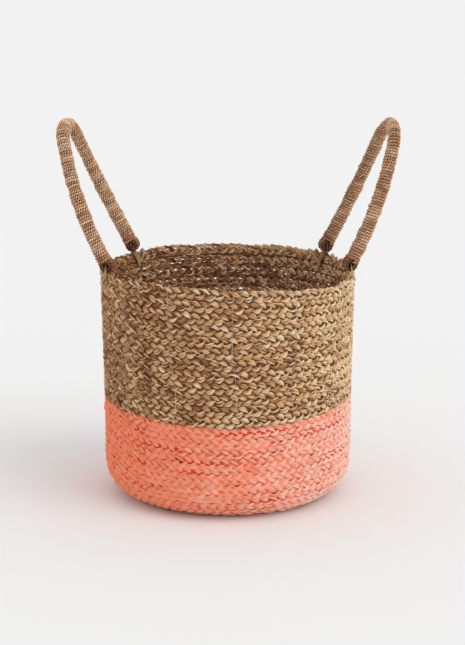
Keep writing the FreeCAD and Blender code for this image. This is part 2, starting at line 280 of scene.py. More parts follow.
def tube_rings(path: np.ndarray, outward: np.ndarray, half_width: np.ndarray | float,
               half_depth: np.ndarray | float, around: int,
               swell: np.ndarray | float = 1.0) -> np.ndarray:
    """Lay an oval section across each point of a path.

    Args:
        path: Points of the strand's middle.
        outward: The way its flat side faces, all along or for each point.
        half_width: Half the section's width, all along or at each point.
        half_depth: Half the section's depth, all along or at each point.
        around: Number of points in a section, which starts on the hidden side.
        swell: Scale of the section's points, all over or for each point of it.

    Returns:
        Rings of points for Strands.add.
    """
    along = unit(np.gradient(path, axis=0))
    across = unit(np.cross(outward, along))
    up = np.cross(along, across)
    angle = np.arange(around) * FULL_TURN / around - math.pi / 2
    wide = np.reshape(half_width, (-1, 1)) * np.cos(angle)[None, :] * swell
    deep = np.reshape(half_depth, (-1, 1)) * np.sin(angle)[None, :] * swell
    return path[:, None, :] + wide[..., None] * across[:, None, :] + deep[..., None] * up[:, None, :]


class Wire:
    """An output socket, on which Python's operators add Math nodes."""

    def __init__(self, graph: "Graph", socket: bpy.types.NodeSocket) -> None:
        """Keep the socket and the graph that it belongs to."""
        self.graph = graph
        self.socket = socket

    def maths(self, operation: str, first: "Wire | float", second: "Wire | float" = 0.0,
              clamp: bool = False) -> "Wire":
        """Add one Math node.

        Args:
            operation: The node's operation.
            first: Its first value.
            second: Its second value.
            clamp: Whether the result stays between 0 and 1.

        Returns:
            The node's result.
        """
        settings = {"operation": operation, "use_clamp": clamp}
        return self.graph.node("ShaderNodeMath", settings, {0: first, 1: second})

    def __add__(self, other: "Wire | float") -> "Wire":
        """Add a value."""
        return self.maths("ADD", self, other)

    __radd__ = __add__

    def __sub__(self, other: "Wire | float") -> "Wire":
        """Take a value away."""
        return self.maths("SUBTRACT", self, other)

    def __rsub__(self, other: "Wire | float") -> "Wire":
        """Take this from a value."""
        return self.maths("SUBTRACT", other, self)

    def __mul__(self, other: "Wire | float") -> "Wire":
        """Multiply by a value."""
        return self.maths("MULTIPLY", self, other)

    __rmul__ = __mul__

    def __pow__(self, other: float) -> "Wire":
        """Raise to a power."""
        return self.maths("POWER", self, other)

    def held(self) -> "Wire":
        """Keep the value between 0 and 1."""
        return self.maths("ADD", self, 0.0, clamp=True)


class Graph:
    """The node tree of one material."""

    def __init__(self, name: str) -> None:
        """Start an empty material with its output.

        Args:
            name: The material's name.
        """
        self.material = bpy.data.materials.new(name)
        self.material.use_nodes = True
        self.tree = self.material.node_tree
        self.tree.nodes.clear()
        self.output = self.tree.nodes.new("ShaderNodeOutputMaterial")

    def node(self, kind: str, settings: dict[str, object],
             sockets: dict[int | str, object], output: int | str = 0) -> Wire:
        """Add a node: its settings first, then the values or links of its sockets.

        Args:
            kind: The node's type.
            settings: Properties by name, where stops are a colour ramp's places and colours.
            sockets: Values or wires by socket name or number.
            output: Which of its outputs is wanted.

        Returns:
            That output as a wire.
        """
        made = self.tree.nodes.new(kind)
        for name, value in settings.items():
            if name == "stops":
                self.set_stops(made.color_ramp, value)
            else:
                setattr(made, name, value)
        for name, value in sockets.items():
            if isinstance(value, Wire):
                self.tree.links.new(value.socket, made.inputs[name])
            else:
                made.inputs[name].default_value = value
        return Wire(self, made.outputs[output])

    @staticmethod
    def set_stops(ramp: bpy.types.ColorRamp, stops: Sequence[tuple[float, Colour]]) -> None:
        """Give a colour ramp its places and colours.

        Args:
            ramp: The ramp.
            stops: Places from 0 to 1 with their colours.
        """
        while len(ramp.elements) < len(stops):
            ramp.elements.new(0.5)
        for element, (place, colour) in zip(ramp.elements, stops):
            element.position = place
            element.color = colour

    def value(self, name: str) -> Wire:
        """Read one of the mesh's own values."""
        return self.node("ShaderNodeAttribute", {"attribute_name": name}, {}, "Fac")

    def grain(self, stretch: tuple[float, float, float], detail: float = 2.0) -> Wire:
        """Noise that follows the strands, stretched along, across and from strand to strand."""
        fibre = self.node("ShaderNodeAttribute", {"attribute_name": "fibre"}, {}, "Vector")
        place = self.node("ShaderNodeVectorMath", {"operation": "MULTIPLY"}, {0: fibre, 1: stretch})
        return self.node("ShaderNodeTexNoise", {}, {"Vector": place, "Scale": 1.0, "Detail": detail})

    def patches(self, scale: float, detail: float = 2.0) -> Wire:
        """Noise that lies in space, in patches of about one over the scale, in metres."""
        place = self.node("ShaderNodeTexCoord", {}, {}, "Object")
        return self.node("ShaderNodeTexNoise", {}, {"Vector": place, "Scale": scale, "Detail": detail})

    def ramp(self, factor: Wire, stops: Sequence[tuple[float, Colour]]) -> Wire:
        """Colours along a value."""
        return self.node("ShaderNodeValToRGB", {"stops": stops}, {0: factor})

    def blend(self, factor: Wire | float, first: Wire | Colour, second: Wire | Colour) -> Wire:
        """Mix two colours by a factor."""
        sockets = {0: factor, 6: first, 7: second}
        return self.node("ShaderNodeMix", {"data_type": "RGBA"}, sockets, 2)

    def bump(self, height: Wire, strength: float, distance: float) -> Wire:
        """Turn a height into a bent normal."""
        sockets = {"Strength": strength, "Distance": distance, "Height": height}
        return self.node("ShaderNodeBump", {}, sockets)

    def finish(self, colour: Wire, roughness: Wire | float, normal: Wire,
               constants: dict[str, float]) -> bpy.types.Material:
        """Close the material with its main shader.

        Args:
            colour: The base colour.
            roughness: The roughness, which may vary.
            normal: The bent normal.
            constants: Values of other sockets, the same all over.

        Returns:
            The finished material.
        """
        sockets = {"Base Color": colour, "Roughness": roughness, "Normal": normal, **constants}
        shader = self.node("ShaderNodeBsdfPrincipled", {}, sockets)
        self.tree.links.new(shader.socket, self.output.inputs["Surface"])
        return self.material


@dataclass(frozen=True)
class SeagrassFinish:
    """Dried seagrass, bare above and under thick coral paint below."""

    pale: Colour = srgb(250, 230, 192)
    light: Colour = srgb(238, 200, 147)
    middle: Colour = srgb(215, 166, 107)
    dark: Colour = srgb(174, 115, 63)
    shadow: Colour = srgb(96, 46, 22)
    russet: Colour = srgb(180, 100, 58)
    coral: Colour = srgb(255, 170, 140)
    coral_pale: Colour = srgb(250, 206, 189)
    coral_deep: Colour = srgb(255, 146, 101)
    coral_gap_shade: Colour = srgb(214, 60, 22)

    def bare(self, graph: Graph, crest: Wire, streak: Wire) -> Wire:
        """Colour of the bare plait: pale, brown and russet blades, with painted shade in the gaps.

        Args:
            graph: The material's nodes.
            crest: 0 in the gaps to 1 on the crests.
            streak: Noise that runs along the blades.

        Returns:
            The colour.
        """
        tuft = graph.grain((0.02, 2.5, 8.3), 2.0)
        # The tone carries painted light and shade as well as random variation: lighter on the right,
        # darker on the left and on the inner face.
        mottle = (graph.value("tone") - 0.5) * 0.9 + (streak - 0.5) * 2.9
        mottle = mottle + (graph.patches(38.0) - 0.5) * 0.5 + 0.55
        stops = [(0.06, self.shadow), (0.26, self.dark), (0.48, self.middle),
                 (0.72, self.light), (0.95, self.pale)]
        blade = graph.ramp(mottle.held(), stops)
        warm = ((tuft - 0.52) * 5.0).held() * 0.6
        tinted = graph.blend(warm, blade, self.russet)
        # Painted shade: darker towards the shadow colour in the gaps between strands.
        gap_shade = ((1.0 - crest) ** 1.5 * 1.2).held()
        return graph.blend(gap_shade, tinted, self.shadow)

    def painted(self, graph: Graph, crest: Wire, streak: Wire) -> Wire:
        """Colour of the painted plait: coral that varies at random, paler and chalkier on the right
        and deeper on the left as painted light, with painted shade in deep red in the gaps.

        Args:
            graph: The material's nodes.
            crest: 0 in the gaps to 1 on the crests.
            streak: Noise that runs along the blades.

        Returns:
            The colour.
        """
        # The tone carries painted light, so the coat runs from deep on the left to pale and chalky on
        # the right, as well as varying at random.
        cover = (graph.value("tone") - 0.5) * 0.9 + (graph.patches(55.0, 4.0) - 0.5) * 0.6
        cover = cover + (streak - 0.5) * 0.4 + 0.5
        stops = [(0.12, self.coral_deep), (0.5, self.coral), (0.88, self.coral_pale)]
        coat = graph.ramp(cover.held(), stops)
        # Painted shade: deep red in the gaps between strands.
        gap_shade = ((1.0 - crest) ** 3.0 * 1.1).held()
        return graph.blend(gap_shade, coat, self.coral_gap_shade)

    def material(self, name: str) -> bpy.types.Material:
        """Build the finish, bare or painted as each point says.

        Args:
            name: The material's name.

        Returns:
            The material.
        """
        graph = Graph(name)
        crest = graph.value("crest")
        streak = graph.grain((0.05, 5.0, 3.7), 3.0)
        fine = graph.grain((0.15, 26.0, 5.1), 2.0)
        paint = graph.value("paint")
        colour = graph.blend(paint, self.bare(graph, crest, streak),
                             self.painted(graph, crest, streak))
        bristle = streak * 0.6 + fine * 0.7
        chalk = graph.patches(900.0, 3.0) * 0.6
        height = bristle * (1.0 - paint * 0.7) + chalk * paint
        roughness = 0.5 + streak * 0.25 + paint * 0.04
        return graph.finish(colour, roughness.held(), graph.bump(height, 0.6, 0.0009),
                            {"Specular IOR Level": 0.42})


@dataclass(frozen=True)
class CordFinish:
    """A twisted or bundled plant fibre in one family of browns."""

    light: Colour
    middle: Colour
    dark: Colour
    # Colour of the painted shade between the plies.
    gap_shade: Colour
    gloss: float = 0.3

    def material(self, name: str) -> bpy.types.Material:
        """Build the finish.

        Args:
            name: The material's name.

        Returns:
            The material.
        """
        graph = Graph(name)
        crest = graph.value("crest")
        streak = graph.grain((0.3, 6.0, 2.3), 3.0)
        fine = graph.grain((0.2, 18.0, 4.7), 2.0)
        mottle = (graph.value("tone") - 0.5) * 0.8 + (streak - 0.5) * 1.3
        mottle = mottle + (graph.patches(60.0) - 0.5) * 0.4 + 0.5
        stops = [(0.1, self.dark), (0.5, self.middle), (0.9, self.light)]
        strands = graph.ramp(mottle.held(), stops)
        # Painted shade: darker towards the gap colour between the plies and on their hidden sides.
        gap_shade = ((1.0 - crest) ** 1.4).held()
        colour = graph.blend(gap_shade, strands, self.gap_shade)
        roughness = (0.6 + streak * 0.25).held()
        return graph.finish(colour, roughness, graph.bump(streak * 0.5 + fine * 0.6, 0.5, 0.0006),
                            {"Specular IOR Level": self.gloss})


@dataclass(frozen=True)
class Meridian:
    """The middle of the wall from the rim down, round the corner and in to the base's centre."""

    rim_radius: float
    rim_height: float
    wall_radius: float
    thickness: float
    edge_height: float
    corner_height: float
    flare_length: float = 144.0 * MM

    @classmethod
    def from_frame(cls) -> "Meridian":
        """Read the wall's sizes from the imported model.

        Returns:
            The wall's middle line.
        """
        rim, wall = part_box(RIM_TURN)[1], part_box(FIRST_PAINTED_TURN)[1]
        base_low, base_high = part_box(BASE)
        thickness = base_high.z - base_low.z
        return cls(rim.x - thickness / 2, rim.z, wall.x - thickness / 2, thickness, wall.z,
                   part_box(FIRST_CORNER_TURN)[1].z)

    @property
    def corner_radius(self) -> float:
        """Radius of the corner, in the middle of the wall."""
        return self.corner_height - self.thickness / 2

    @property
    def base_radius(self) -> float:
        """Radius at which the flat base starts."""
        return self.wall_radius - self.corner_radius

    @property
    def corner_start(self) -> float:
        """Distance down the wall to the corner."""
        return self.rim_height - self.corner_height

    @property
    def base_start(self) -> float:
        """Distance down the wall and round the corner to the flat base."""
        return self.corner_start + self.corner_radius * math.pi / 2

    @property
    def edge_down(self) -> float:
        """Distance down the wall to the painted edge."""
        return self.rim_height - self.edge_height

    def at(self, down: np.ndarray) -> tuple[np.ndarray, np.ndarray, np.ndarray]:
        """Find the wall at distances from the rim.

        Args:
            down: Distances along the wall from the rim.

        Returns:
            Radius, height and the outward direction's angle below level.
        """
        flare = (self.rim_radius - self.wall_radius) * np.clip(1 - down / self.flare_length, 0, 1.1)
        angle = np.clip((down - self.corner_start) / self.corner_radius, 0.0, math.pi / 2)
        on_base = np.clip(down - self.base_start, 0.0, None)
        on_wall = np.minimum(down, self.corner_start)
        radius = self.wall_radius + flare - self.corner_radius * (1 - np.cos(angle)) - on_base
        height = self.rim_height - on_wall - self.corner_radius * np.sin(angle)
        return radius, height, angle

    def place(self, turn: np.ndarray, down: np.ndarray,
              proud: np.ndarray) -> tuple[np.ndarray, np.ndarray]:
        """Find points on or off the wall.

        Args:
            turn: Angles round the basket from the front.
            down: Distances along the wall from the rim.
            proud: Distances out from the middle of the wall.

        Returns:
            The points and the outward directions there.
        """
        radius, height, angle = self.at(down)
        reach = radius + proud * np.cos(angle)
        level = height - proud * np.sin(angle)
        points = np.stack([reach * np.sin(turn), -reach * np.cos(turn), level], axis=-1)
        outward = np.stack([np.cos(angle) * np.sin(turn), -np.cos(angle) * np.cos(turn),
                            -np.sin(angle)], axis=-1)
        return points, outward


@dataclass(frozen=True)
class HandWork:
    """How far the hand-made wall strays from an even one, by angle from the front.

    Angles are in degrees here, and the lifts and the threads' pull in millimetres.
    """

    edge_down: float
    rim_turns: tuple[float, ...] = (-180, -142, -127, -110, -85, -71, -57, -33, 0, 25, 40, 60, 74,
                                    110, 140, 180)
    rim_lifts: tuple[float, ...] = (0, 1.5, -1.5, -2, 1, -1.5, 2, 4, 0, -3, -7, -12, -6, -2, 1, 0)
    rim_fade: float = 42.0 * MM
    edge_turns: tuple[float, ...] = (-180, -90, -58, -30, 0, 30, 58, 90, 180)
    edge_lifts: tuple[float, ...] = (4, 6, 7, 2.5, -1, 2, 6, 6, 4)
    edge_fade: float = 70.0 * MM
    first_thread: float = 3.0
    thread_step: float = 360.0 / 13.0
    thread_pull: float = 2.2
    thread_reach: float = 3.2
    blur: float = 6.0

    def along(self, turn: np.ndarray, turns: Sequence[float],
              lifts: Sequence[float]) -> np.ndarray:
        """Run smoothly through the lifts given at a few angles, in metres.

        Args:
            turn: Angles round the basket.
            turns: The few angles, in degrees.
            lifts: The lifts there, in millimetres.

        Returns:
            The lift at each angle.
        """
        around = (np.degrees(turn) + 180.0) % 360.0 - 180.0
        total = sum(np.interp((around + step + 180.0) % 360.0 - 180.0, turns, lifts)
                    for step in (-self.blur, 0.0, self.blur))
        return total / 3.0 * MM

    def pull(self, turn: np.ndarray) -> np.ndarray:
        """How far the threads draw the rim down beside them."""
        step = self.thread_step
        away = (np.degrees(turn) - self.first_thread + step / 2) % step - step / 2
        return self.thread_pull * MM * np.exp(-(away / self.thread_reach) ** 2)

    def rim(self, turn: np.ndarray) -> np.ndarray:
        """Lift of the rim."""
        return self.along(turn, self.rim_turns, self.rim_lifts) - self.pull(turn)

    def edge(self, turn: np.ndarray) -> np.ndarray:
        """Lift of the turns at the painted edge."""
        return self.along(turn, self.edge_turns, self.edge_lifts)

    def lift(self, turn: np.ndarray, down: np.ndarray) -> np.ndarray:
        """Lift of the wall anywhere: the rim's, fading down, and the painted edge's, both ways.

        Args:
            turn: Angles round the basket.
            down: Distances along the wall from the rim.

        Returns:
            The lifts.
        """
        from_rim = self.rim(turn) * np.exp(-np.clip(down, 0, None) / self.rim_fade)
        from_edge = self.edge(turn) * np.exp(-((down - self.edge_down) / self.edge_fade) ** 2)
        return from_rim + from_edge


@dataclass(frozen=True)
class Turn:
    """One turn of the coil."""

    name: str
    node: str
    slot: str
    down: float
    pitch: float
    next_down: float

    @property
    def painted(self) -> bool:
        """Whether the turn is one of the painted ones."""
        return self.slot == "coral_plait"


@dataclass(frozen=True)
class PlaitShape:
    """How the strands of a plait run, for a turn of full pitch."""

    swing: float
    dip: float
    half_width: float
    half_depth: float
    spread: float
    flatness: float
    seam: float
    lean: float = 0.25
    sharpness: float = 1.9
    early: float = 0.15
    rise: float = 0.3
    narrow: float = 0.52
    narrow_early: float = 0.25

    def across(self, run: np.ndarray) -> np.ndarray:
        """Place across the row, which changes slowly on top and fast where it dives."""
        return self.swing * (np.cos(run) - self.flatness * np.cos(3.0 * run))

    def out(self, run: np.ndarray) -> np.ndarray:
        """Place through the wall: a strand dives before it crosses the middle of the row."""
        dive = np.sin(2.0 * run + self.early + self.lean * (1.0 - np.cos(run)))
        return self.dip * (np.tanh(self.sharpness * dive) + self.rise)

    def leaf(self, run: np.ndarray) -> np.ndarray:
        """Share of the full width, which narrows where a strand dives, so that lobes are pointed."""
        return self.narrow + (1.0 - self.narrow) * np.abs(np.sin(2.0 * run + self.narrow_early))


@dataclass
class PlaitedWall:
    """The coiled plait: wall, bottom corner and base."""

    meridian: Meridian
    hand: HandWork
    seed: int = 7
    bare: PlaitShape = PlaitShape(
        swing=5.0 * MM, dip=1.75 * MM, half_width=1.15 * MM, half_depth=1.2 * MM, spread=2.3 * MM,
        flatness=0.07, seam=1.9 * MM)
    painted: PlaitShape = PlaitShape(
        swing=5.2 * MM, dip=1.35 * MM, half_width=1.1 * MM, half_depth=1.1 * MM, spread=2.2 * MM,
        flatness=0.05, seam=2.4 * MM)
    bare_pitch: float = 14.4 * MM
    lobe: float = 11.4 * MM
    samples_per_lobe: float = 6.4
    fewest_samples: int = 60
    around: int = 6
    blades: int = 3
    ridge: float = 0.08
    base_turns: int = 9
    step_turn: float = math.radians(-40.0)
    step_width: float = math.radians(26.0)
    rim_end: float = 0.35
    rim_end_lift: float = 0.25
    drift: float = 0.28
    sway: float = 1.7 * MM
    seam_step: float = 4.0 * MM
    seam_depth: float = 1.2 * MM
    # Crest of the seams: a low value darkens them with painted shade.
    seam_crest: float = 0.18
    open_turns: int = 3
    open_gaps: float = 0.4
    closed_gaps: float = 0.1
    inner_gaps: float = 0.05
    ragged_turn: float = math.radians(-54.0)
    ragged_width: float = math.radians(9.0)
    ragged_reach: float = 6.0 * MM
    ragged_drop: float = 2.5 * MM
    paint_soft: float = 0.9 * MM
    paint_side: tuple[float, float] = (-0.7 * MM, -0.1 * MM)
    paint_reach: float = 0.6 * MM
    crest_range: tuple[float, float] = (-0.9 * MM, 1.7 * MM)
    # The next two values make the tone lighter towards the right and darker towards the left: painted
    # light, as from the key lamp on the right.
    side_light: float = 0.23
    painted_side_light: float = 0.44
    painted_calm: float = 0.45
    inner_shade: float = 0.26
    floor_gap: float = 0.05 * MM
    loose_ends: int = 4

    def turns(self) -> list[Turn]:
        """List the turns from the rim to the base's centre.

        Returns:
            The turns in their order.
        """
        shape = self.meridian
        groups = [("natural_turn", "natural_plait", 0.0, shape.edge_down),
                  ("coral_turn", "coral_plait", shape.edge_down,
                   shape.edge_height - shape.corner_height),
                  ("corner_turn", "coral_plait", shape.corner_start,
                   shape.base_start - shape.corner_start)]
        middles: list[tuple[str, str, str, float, float]] = []
        for stem, slot, start, length in groups:
            count = sum(node.startswith(stem) for node in frame["nodes"])
            pitch = length / count
            for index in range(count):
                node = "%s_%02d" % (stem, index + 1)
                middles.append((node.replace("turn", "plait"), node, slot,
                                start + (index + 0.5) * pitch, pitch))
        pitch = shape.base_radius / self.base_turns
        for index in range(self.base_turns - 1):
            middles.append(("base_plait_%02d" % (index + 1), BASE, "coral_plait",
                            shape.base_start + (index + 0.5) * pitch, pitch))
        downs = [entry[3] for entry in middles] + [middles[-1][3] + pitch]
        return [Turn(*entry, next_down=after) for entry, after in zip(middles, downs[1:])]

    def radius(self, turn: Turn) -> float:
        """Radius of a turn, the same all down the wall so that the lobes of its rows nest."""
        down = max(turn.down, self.meridian.flare_length)
        return max(float(self.meridian.at(np.array(down))[0]), 6 * MM)

    def lobes(self, turn: Turn) -> float:
        """Number of lobes in a turn."""
        return float(round(FULL_TURN * self.radius(turn) / self.lobe))

    def course(self, turn: Turn, lead: float,
               count: int) -> tuple[np.ndarray, np.ndarray, np.ndarray]:
        """Follow the middle of a turn, which slides down into the next one at its end.

        Args:
            turn: The turn.
            lead: How far ahead of the turn the line starts, in radians.
            count: Number of samples.

        Returns:
            The way gone round the turn, the angle round the basket and the distance from the rim.
        """
        sweep = np.linspace(-lead, FULL_TURN, count)
        slide = smooth_step(FULL_TURN - self.step_width, FULL_TURN, sweep)
        return sweep, self.step_turn + sweep, turn.down + slide * (turn.next_down - turn.down)

    def strand(self, turn: Turn, strands: Strands, phase: float, number: int,
               drift: np.ndarray, first: bool) -> None:
        """Lay one of the three strands of a turn.

        Args:
            turn: The turn that it belongs to.
            strands: The mesh that it joins.
            phase: Where the plait stands at the turn's start, in radians.
            number: Which of the three strands.
            drift: How far the turn as a whole runs ahead or behind, in radians.
            first: Whether this is the rim's turn, whose end tapers in above the next.
        """
        shape = self.painted if turn.painted else self.bare
        radius = self.radius(turn)
        lead = self.step_width if first else 0.0
        count = max(int((FULL_TURN + lead) * radius / self.lobe * self.samples_per_lobe),
                    self.fewest_samples)
        chance = strands.chance(FULL_TURN * radius, count)
        sweep, angle, middle = self.course(turn, lead, count)
        places = np.linspace(-lead, FULL_TURN, len(drift))
        run = phase + FULL_TURN * number / 3.0 + sweep * self.lobes(turn) / 3.0
        run = run + np.interp(sweep, places, drift) + 0.10 * chance.wander(25 * MM)
        scale = turn.pitch / self.bare_pitch
        taper = np.interp(sweep, [-lead, 0.0], [self.rim_end, 1.0]) if first else np.ones(count)
        middle = middle - (1.0 - taper) * turn.pitch * self.rim_end_lift
        middle = middle + self.sway * np.interp(sweep, places, drift[::-1])
        uneven = scale * taper * (1.0 + 0.05 * chance.wander(14 * MM))
        down = middle - uneven * shape.across(run) - self.hand.lift(angle, middle)
        proud = taper * shape.out(run) + 0.2 * MM * chance.wander(16 * MM)
        leaf = scale * taper * shape.leaf(run)
        lie = 0.45 * chance.wander(24 * MM)
        for side in np.linspace(-1.0, 1.0, self.blades):
            beside = down + side * shape.spread * leaf * np.cos(lie)
            over = proud + side * shape.spread * np.sin(lie) - 0.3 * MM * side ** 2
            path, outward = self.meridian.place(angle, beside, over)
            wide = shape.half_width * leaf * (1.0 + 0.12 * chance.wander(15 * MM))
            deep = shape.half_depth * taper * (1.0 + 0.08 * chance.wander(21 * MM))
            rings = tube_rings(path, outward, wide, deep, self.around,
                               chance.blades(self.around, self.ridge))
            self.record(chance, strands, turn, angle, rings, standing(rings, path, outward), over)

    def seam(self, turn: Turn, strands: Strands, offset: float, gaps: float) -> None:
        """Lay the pressed inner fibres along a turn or between it and the next, darkened with painted
        shade and deep red in stretches where painted.

        Args:
            turn: The turn that they belong to.
            strands: The mesh that they join.
            offset: Their place across the turn, as a share of its pitch from its middle.
            gaps: How unevenly they lie, where the thinnest places let light through.
        """
        shape = self.painted if turn.painted else self.bare
        length = FULL_TURN * self.radius(turn)
        chance = strands.chance(length, max(int(length / self.seam_step), self.fewest_samples))
        _, angle, middle = self.course(turn, 0.0, chance.count)
        middle = middle + turn.pitch * offset
        down = middle - self.hand.lift(angle, middle) + 0.3 * MM * chance.wander(12 * MM)
        path, outward = self.meridian.place(angle, down, 0.3 * MM * chance.wander(9 * MM))
        width = 1.0 + gaps * chance.wander(26 * MM) + 0.3 * gaps * chance.wander(5 * MM)
        rings = tube_rings(path, outward, shape.seam * np.clip(width, 0.2, 1.3), self.seam_depth, 8)
        tone = 0.35 + 0.15 * chance.wander(10 * MM)
        paint = self.cover(chance, turn, angle, rings, standing(rings, path, outward))
        crest = np.full(chance.count, self.seam_crest)
        if turn.painted:
            crest = np.clip(0.36 + 0.3 * chance.wander(70 * MM), 0.0, 0.7)
        strands.add(rings, tone[:, None], crest[:, None], chance.along(), chance.grain(), paint)

    def record(self, chance: Chance, strands: Strands, turn: Turn, angle: np.ndarray,
               rings: np.ndarray, facing: np.ndarray, proud: np.ndarray) -> None:
        """Work out tone, crest and paint at each point of a strand and add it to the mesh.

        Args:
            chance: The strand's unevenness.
            strands: The mesh that it joins.
            turn: The turn that it belongs to.
            angle: Angle round the basket at each ring.
            rings: The strand's points.
            facing: How far each point stands out of the strand's middle.
            proud: How far that middle stands out of the wall's middle.
        """
        out = facing + proud[:, None]
        rings[..., 2] = np.maximum(rings[..., 2], self.floor_gap)
        uneven = (0.16 * chance.wander(30 * MM) + 0.2 * chance.wander(9 * MM))[:, None]
        uneven = uneven + chance.rng.normal(0.0, 0.1, self.around)[None, :]
        uneven = uneven + chance.rng.normal(0.0, 0.06)
        side_light = self.side_light
        if turn.painted:
            uneven, side_light = self.painted_calm * uneven, self.painted_side_light
        # Painted light: the tone is lighter towards the right and darker towards the left.
        tone = 0.5 + uneven + side_light * np.sin(angle)[:, None]
        tone = tone - self.inner_shade * smooth_step(0.0, 2 * MM, -out)
        # The crest, low where a strand lies deep near the middle of the wall, drives painted shade.
        crest = smooth_step(*self.crest_range, np.abs(out))
        paint = self.cover(chance, turn, angle, rings, np.maximum(facing, out - self.paint_reach))
        strands.add(rings, tone, crest, chance.along(), chance.grain(), paint)

    def cover(self, chance: Chance, turn: Turn, angle: np.ndarray, rings: np.ndarray,
              facing: np.ndarray) -> np.ndarray:
        """Paint on a strand: all the outside below an edge that is ragged near the step.

        Args:
            chance: The strand's unevenness.
            turn: The turn that the strand belongs to.
            angle: Angle round the basket at each ring.
            rings: The strand's points.
            facing: How far each point stands out of its strand's middle.

        Returns:
            The paint at each point, 0 to 1.
        """
        edge = self.meridian.edge_height
        around = (angle - self.ragged_turn + math.pi) % FULL_TURN - math.pi
        near_step = np.exp(-(around / self.ragged_width) ** 2)
        level = edge + self.hand.edge(angle) - self.ragged_drop * near_step
        level = level + (0.4 + 3.2 * near_step) * MM * chance.wander(9 * MM)
        height = rings[..., 2]
        below = smooth_step(-self.paint_soft, self.paint_soft, level[:, None] - height)
        if turn.painted:
            bare = near_step[:, None] * (height > edge - self.ragged_reach)
            below = np.maximum(below, 1.0 - bare)
        return below * smooth_step(*self.paint_side, facing)

    def loose(self, turn: Turn, strands: Strands) -> None:
        """Add a few ends of blades that stick out of a bare turn.

        Args:
            turn: The turn that they belong to.
            strands: The mesh that they join.
        """
        rng = strands.rng
        chance = strands.chance(10 * MM, 9)
        share = chance.along() / chance.length
        for _ in range(self.loose_ends):
            angle = rng.uniform(-math.pi, math.pi)
            reach = rng.uniform(7.0, 12.0) * MM / self.meridian.wall_radius
            tilt = rng.uniform(-0.45, 0.45)
            angles = angle + share * reach * rng.choice((-1.0, 1.0))
            middle = turn.down + rng.uniform(-0.3, 0.3) * turn.pitch + tilt * reach * share * 0.1
            down = middle - self.hand.lift(angles, np.array(turn.down))
            proud = (3.0 + 1.6 * np.sin(share * 2.2)) * MM
            path, outward = self.meridian.place(angles, down, proud)
            half = (0.75 - 0.6 * share ** 2) * MM
            rings = tube_rings(path, outward, half, half * 0.4, 6)
            strands.add(rings, rng.uniform(0.6, 1.0), 1.0, chance.along(), chance.grain())

    def make(self, material: bpy.types.Material) -> None:
        """Build and dress every turn, each in the place of its packed turn.

        Args:
            material: The plait's finish.
        """
        rng = np.random.default_rng(self.seed)
        phase = 0.0
        base = Strands(rng)
        ends = np.sin(np.linspace(0.0, math.pi, 60))
        for index, turn in enumerate(self.turns()):
            strands = base if turn.node == BASE else Strands(rng)
            drift = self.drift * Chance(rng, 1.0, len(ends)).wander(0.11) * ends
            for number in range(3):
                self.strand(turn, strands, phase, number, drift, index == 0)
            gaps = self.open_gaps if index < self.open_turns else self.closed_gaps
            self.seam(turn, strands, 0.5, gaps)
            self.seam(turn, strands, 0.0, self.inner_gaps)
            if not turn.painted:
                self.loose(turn, strands)
            if turn.node != BASE:
                dress(strands.build(turn.name), material, "basket", turn.slot, turn.node)
            phase += self.lobes(turn) / 3.0 * FULL_TURN
        self.button(base)
        dress(base.build("base_plait"), material, "basket", "coral_plait", BASE)

    def button(self, strands: Strands) -> None:
        """Close the middle of the base with the start of the plait, curled up tight.

        Args:
            strands: The mesh of the base.
        """
        pitch, level = self.meridian.base_radius / self.base_turns, self.meridian.thickness / 2
        curls = 2.2
        sweep = np.linspace(0.0, curls * FULL_TURN, 150)
        radius = pitch * (0.25 + 1.0 * sweep / sweep[-1])
        points = np.stack([radius * np.sin(sweep), -radius * np.cos(sweep),
                           np.full_like(sweep, level)], axis=-1)
        swell = strands.chance(100 * MM, len(sweep)).blades(self.around, 0.1)
        rings = tube_rings(points, np.array([0.0, 0.0, -1.0]), 3.4 * MM, 3.5 * MM, self.around, swell)
        out = level - rings[..., 2]
        tone = 0.5 + 0.2 * strands.rng.random(self.around)[None, :]
        # Painted shade: darker where the curl lies near the middle of the base.
        crest = smooth_step(0.4 * MM, 3.0 * MM, np.abs(out))
        strands.add(rings, tone, crest, radius * sweep, 3.0, smooth_step(-1 * MM, 0, out))


